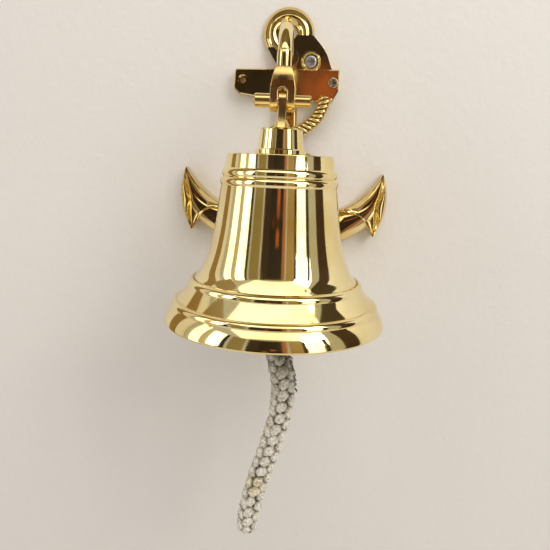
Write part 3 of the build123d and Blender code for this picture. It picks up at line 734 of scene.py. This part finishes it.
def make_arms():
    mirrored = [(-x, z, width, depth) for x, z, width, depth in reversed(ARM_STATIONS[:-1])]
    stations = spline_through([*ARM_STATIONS, *mirrored], 8)
    rings = []
    for i, (x, z, width, depth) in enumerate(stations):
        before, after = stations[max(i - 1, 0)], stations[min(i + 1, len(stations) - 1)]
        way = Vector((after[0] - before[0], 0, after[1] - before[1])).normalized()
        side = way.cross(Vector((0, 1, 0)))
        ring = []
        for step in range(ARM_SIDES):
            turn = 2 * math.pi * step / ARM_SIDES
            out = side * width * rounded(math.cos(turn), ARM_FULLNESS)
            back = Vector((0, 1, 0)) * depth * rounded(math.sin(turn), ARM_FULLNESS)
            ring.append((Vector((x, ARMS_MIDDLE_Y, z)) + out + back) * MM)
        rings.append(ring)
    return finish_mesh(loft("anchor_arms_cast", rings), 60)


arms = make_arms()
arms.data.materials.append(anchor_brass)
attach(arms, "bracket")
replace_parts(arms, "anchor_arms")

# ---- The flukes: a horn-shaped palm with a raised rim round a dished face
# (x and z of the right palm's outer and inner edges, from its tip to its barb)
FLUKE_OUTER = ((80.9, -69.7), (85.5, -96.0), (76.0, -121.4))
FLUKE_INNER = ((80.9, -69.7), (77.0, -75.6), (71.6, -81.8), (65.6, -87.6), (58.4, -93.6),
               (49.5, -98.6), (44.0, -100.6), (50.5, -102.0), (58.0, -102.6), (63.6, -105.2),
               (67.6, -109.6), (71.6, -115.4), (76.0, -121.4))
FLUKE_SECTION = (  # share of the way from the outer edge to the inner one, distance off the wall
    (0.02, 0.3), (0.00, 4.5), (0.015, 7.8), (0.05, 9.8), (0.09, 11.0), (0.13, 11.6),
    (0.17, 11.3), (0.22, 10.4), (0.32, 9.5), (0.46, 9.1), (0.60, 9.4), (0.71, 10.2),
    (0.80, 11.2), (0.87, 11.6), (0.93, 11.0), (0.98, 9.0), (1.0, 6.4), (0.995, 3.0), (0.98, 0.3),
)
FLUKE_EDGE_DROP = 3.4  # how much nearer the wall the palm's two ends are
FLUKE_FOOT = 0.2  # the palm's back stands this far off the wall
FLUKE_STEPS = 40


def part_way(points, share):
    """The point at a share of the way through a list of points, counted by its runs."""
    where = share * (len(points) - 1)
    low = min(int(where), len(points) - 2)
    mix = where - low
    return [a + (b - a) * mix for a, b in zip(points[low], points[low + 1])]


def make_fluke(side, name):
    outer = arc_through(*FLUKE_OUTER, FLUKE_STEPS)
    inner = spline_through(FLUKE_INNER, 16)
    highest = max(out for _, out in FLUKE_SECTION)
    rings = []
    for step in range(1, FLUKE_STEPS):
        share = step / FLUKE_STEPS
        eased = 0.5 - 0.5 * math.cos(math.pi * share)
        outer_x, outer_z = part_way(outer, eased)
        inner_x, inner_z = part_way(inner, eased)
        drop = FLUKE_EDGE_DROP * abs(2 * share - 1) ** 2.5
        rings.append([
            Vector((
                side * (outer_x + (inner_x - outer_x) * across),
                -max(out - drop * out / highest, FLUKE_FOOT),
                outer_z + (inner_z - outer_z) * across,
            )) * MM
            for across, out in FLUKE_SECTION
        ])
    piece = finish_mesh(loft(name, rings), 50)
    piece.data.materials.append(anchor_brass)
    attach(piece, "bracket")
    return piece


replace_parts(make_fluke(1, "fluke_right_cast"), "fluke_right")
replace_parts(make_fluke(-1, "fluke_left_cast"), "fluke_left")

# ---- The raised rim round the upper wall screw, its edges rounded by the polishing
BOSS_RIM = (  # radius, distance off the wall
    (5.3, 6.6), (5.3, 8.3), (5.6, 8.9), (6.2, 9.2), (6.9, 8.9), (7.6, 8.1), (7.9, 7.3), (7.9, 6.6),
)


def make_boss_rim():
    low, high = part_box("upper_wall_screw")
    centre = Vector(((low.x + high.x) / 2, 0, (low.z + high.z) / 2))
    rings = []
    for step in range(64):
        turn = 2 * math.pi * step / 64
        out = Vector((math.cos(turn), 0, math.sin(turn)))
        rings.append([centre + (out * radius - Vector((0, away, 0))) * MM
                      for radius, away in BOSS_RIM])
    return finish_mesh(link_mesh("boss_rim_cast", *closed_turn(rings)), 50)


boss_rim = make_boss_rim()
boss_rim.data.materials.append(anchor_brass)
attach(boss_rim, "bracket")

# ---- The rope cast round the shank
ROPE_Y = -7.2
ROPE_ROUTE_MM = (
    (31.0, -11.0), (28.0, -24.0), (17.0, -35.5), (-2.0, -44.0), (-13.0, -54.0), (2.0, -61.0),
    (22.0, -60.0), (31.5, -70.0), (22.0, -85.0), (0.0, -93.0), (-18.0, -99.0), (-23.0, -112.0),
)


def make_cast_rope():
    route = [(x * MM, ROPE_Y * MM, z * MM) for x, z in ROPE_ROUTE_MM]
    line = Line(nurbs_points("cast_rope_route", route))
    heap = Heap()
    twisted(heap, line, 4, 2.6 * MM, 2.9 * MM, 16 * MM, 0.6 * MM, columns=16)
    return heap.piece("cast_rope_strands")


cast_rope = make_cast_rope()
cast_rope.data.materials.append(rope_brass())
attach(cast_rope, "bracket")
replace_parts(cast_rope, "cast_rope")

# ---- Finishes of the CAD parts that stay
FINISHES = {
    anchor_brass: ("anchor_head", "anchor_stock", "anchor_shank"),
    bell_brass: ("bracket_arm", "arm_collar", "neck_collar"),
    fork_brass: ("clevis", "hanger_tongue"),
    pin_brass: ("hanger_pin", "pin_cap_nut"),
    zinc: ("upper_wall_screw",),
    steel: ("right_wall_screw", "arm_fixing_screw"),
    inner_brass: (
        "crown_washer", "crown_nut", "clapper_eyebolt", "clapper_link", "clapper_rod",
        "clapper_ball", "clapper_tail_eye",
    ),
}
BEVELLED = {"anchor_head": 0.7 * MM, "clevis": 0.4 * MM}


def bevel_edges(piece, width):
    weld = piece.modifiers.new("weld", "WELD")
    weld.merge_threshold = 0.00001
    bevel = piece.modifiers.new("bevel", "BEVEL")
    bevel.width = width
    bevel.segments = 2
    bevel.limit_method = "ANGLE"
    bevel.angle_limit = math.radians(50)
    bevel.harden_normals = False


for name, width in BEVELLED.items():
    bevel_edges(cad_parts[name], width)
for material, names in FINISHES.items():
    for name in names:
        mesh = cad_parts[name].data
        mesh.materials.clear()
        mesh.materials.append(material)


# ---- Wall, floor and lights
def stage_plane(name, corners, colour):
    """A flat matt face; returns it with its material's nodes and links."""
    piece = link_mesh(name, corners, [tuple(range(len(corners)))], smooth=False)
    material, nodes, links, shader = new_material(name)
    shader.inputs["Base Color"].default_value = (*colour, 1)
    shader.inputs["Roughness"].default_value = 0.9
    piece.data.materials.append(material)
    return piece, nodes, links


WALL_COLOUR = (0.74, 0.71, 0.68)
WALL_HALF = 2.4
WALL_GAP = 0.0006
FLOOR_Z = CAD_BOX[0].z - 0.35


def make_wall():
    """A plain wall behind the bell. Its back isn't shown, so a view from behind sees the bell."""
    half = WALL_HALF
    _, nodes, links = stage_plane("wall", [
        (-half, WALL_GAP, FLOOR_Z), (half, WALL_GAP, FLOOR_Z), (half, WALL_GAP, half),
        (-half, WALL_GAP, half),
    ], WALL_COLOUR)
    shader = nodes["Principled BSDF"]
    geometry = nodes.new("ShaderNodeNewGeometry")
    clear = nodes.new("ShaderNodeBsdfTransparent")
    either = nodes.new("ShaderNodeMixShader")
    links.new(geometry.outputs["Backfacing"], either.inputs["Fac"])
    links.new(shader.outputs["BSDF"], either.inputs[1])
    links.new(clear.outputs["BSDF"], either.inputs[2])
    links.new(either.outputs["Shader"], nodes["Material Output"].inputs["Surface"])
    grain = noise_node(nodes, links, 120.0, 3.0)
    links.new(bump(nodes, links, grain, 0.35, 0.0012), shader.inputs["Normal"])


def make_floor():
    half = WALL_HALF
    stage_plane("floor", [
        (-half, -half, FLOOR_Z), (half, -half, FLOOR_Z), (half, half, FLOOR_Z),
        (-half, half, FLOOR_Z),
    ], WALL_COLOUR)


LIGHT_TARGET = (BELL_X, BELL_Y, RIM_Z + 60 * MM)
LIGHTS = (  # name, place, size, power, colour
    ("key", (1.0, -1.0, 0.8), (0.7, 1.0), 13, (1.0, 0.97, 0.92)),
    ("left_window", (-1.1, -0.8, 0.15), (0.34, 1.2), 3, (1.0, 0.98, 0.95)),
    ("top", (0.1, -0.5, 1.1), (0.9, 0.5), 5, (1.0, 0.98, 0.95)),
)


def area_light(name, place, size, power, colour):
    """A soft light pointed at the bell."""
    data = bpy.data.lights.new(name, "AREA")
    data.shape = "RECTANGLE"
    data.size, data.size_y = size
    data.energy = power
    data.color = colour
    light = bpy.data.objects.new(name, data)
    light.location = place
    light.rotation_mode = "QUATERNION"
    light.rotation_quaternion = (Vector(LIGHT_TARGET) - Vector(place)).to_track_quat("-Z", "Y")
    light.visible_camera = False
    bpy.context.scene.collection.objects.link(light)


def reflected_only(name, corners, colour, glow):
    """A card, glowing or not, that shows only in reflections."""
    piece, nodes, _ = stage_plane(name, corners, colour)
    shader = nodes["Principled BSDF"]
    shader.inputs["Emission Color"].default_value = (*colour, 1)
    shader.inputs["Emission Strength"].default_value = glow
    piece.visible_camera = False
    piece.visible_shadow = False
    piece.visible_diffuse = False


def tall_card(name, azimuth, half_angle, low, high, colour, glow, distance):
    turn = math.radians(azimuth)
    way = Vector((math.sin(turn), -math.cos(turn), 0))
    half_width = distance * math.tan(math.radians(half_angle))
    side = Vector((math.cos(turn), math.sin(turn), 0)) * half_width
    centre = Vector((BELL_X, BELL_Y, 0)) + way * distance
    foot, head = Vector((0, 0, low)), Vector((0, 0, high))
    reflected_only(name, (
        centre - side + foot, centre + side + foot, centre + side + head, centre - side + head,
    ), colour, glow)


# Upright cards round the bell. They imitate the room's reflections in the photograph: their places,
# widths and colours were chosen to follow the bands on the bell's waist and the stock.
# name, azimuth from straight ahead, half its angular width, lower and upper edge, colour, glow,
# distance from the bell's axis
CARDS = (
    ("card_brown_wall", -104, 7, -0.6, 0.3, (0.20, 0.13, 0.05), 0.35, 0.25),
    ("card_white_left", -80, 6.5, -0.8, 1.0, (1.0, 0.98, 0.93), 1.4, 1.4),
    ("card_grey_left", -64, 6, -0.8, 0.9, (0.42, 0.39, 0.30), 0.5, 1.4),
    ("card_dark_left", -50, 5, -0.8, 0.9, (0.010, 0.008, 0.005), 0.0, 1.4),
    ("card_olive_left", -34, 8, -0.8, 0.9, (0.20, 0.16, 0.07), 0.35, 1.4),
    ("card_brown_front", -17, 6, -0.8, 0.9, (0.03, 0.015, 0.006), 0.0, 1.4),
    ("card_red_front", -5, 2.5, -0.8, 0.10, (0.17, 0.045, 0.014), 0.4, 1.38),
    ("card_orange_front", 2.8, 2.6, 0.13, 0.245, (0.30, 0.08, 0.02), 0.40, 1.38),
    ("card_black_front", 0, 12, -0.8, 0.9, (0.012, 0.006, 0.003), 0.0, 1.4),
    ("card_rust_front", 14, 2.5, -0.8, 0.9, (0.28, 0.11, 0.05), 0.35, 1.38),
    ("card_gold_right", 26, 7, -0.8, 0.9, (0.26, 0.18, 0.08), 0.45, 1.4),
    ("card_edge_right", 34, 2, -0.8, 0.9, (0.02, 0.01, 0.005), 0.0, 1.4),
    ("card_white_right", 45, 8, -0.8, 1.0, (1.0, 0.98, 0.93), 1.6, 1.4),
    ("card_line_right", 57, 2.5, -0.8, 0.9, (0.03, 0.02, 0.01), 0.0, 1.4),
    ("card_dark_right", 87, 12, -0.8, 0.9, (0.05, 0.025, 0.012), 0.0, 1.1),
)

OLIVE = (0.13, 0.10, 0.04)
OTHER_CARDS = (  # name, corners, colour, glow
    ("card_over_anchor", ((-0.30, -0.26, 0.30), (0.30, -0.26, 0.30), (0.30, -0.004, 0.30),
                          (-0.30, -0.004, 0.30)), OLIVE, 0.5),
    ("card_left_of_anchor", ((-0.26, -0.20, 0.02), (-0.26, -0.004, 0.02), (-0.26, -0.004, 0.30),
                             (-0.26, -0.20, 0.30)), (0.20, 0.15, 0.08), 0.4),
    ("card_right_of_anchor", ((0.26, -0.20, 0.02), (0.26, -0.004, 0.02), (0.26, -0.004, 0.30),
                              (0.26, -0.20, 0.30)), (0.05, 0.035, 0.015), 0.2),
    ("card_overhead", ((-0.8, -1.4, 0.95), (0.8, -1.4, 0.95), (0.8, -0.28, 0.95),
                       (-0.8, -0.28, 0.95)), (1.0, 0.98, 0.90), 0.9),
)

for details in OTHER_CARDS:
    reflected_only(*details)
make_wall()
make_floor()
for details in LIGHTS:
    area_light(*details)
for details in CARDS:
    tall_card(*details)

world = bpy.data.worlds.new("studio")
world.use_nodes = True
world.node_tree.nodes["Background"].inputs["Color"].default_value = (1.0, 0.965, 0.91, 1)
world.node_tree.nodes["Background"].inputs["Strength"].default_value = 0.50
bpy.context.scene.world = world
bpy.context.scene.view_settings.view_transform = "Standard"
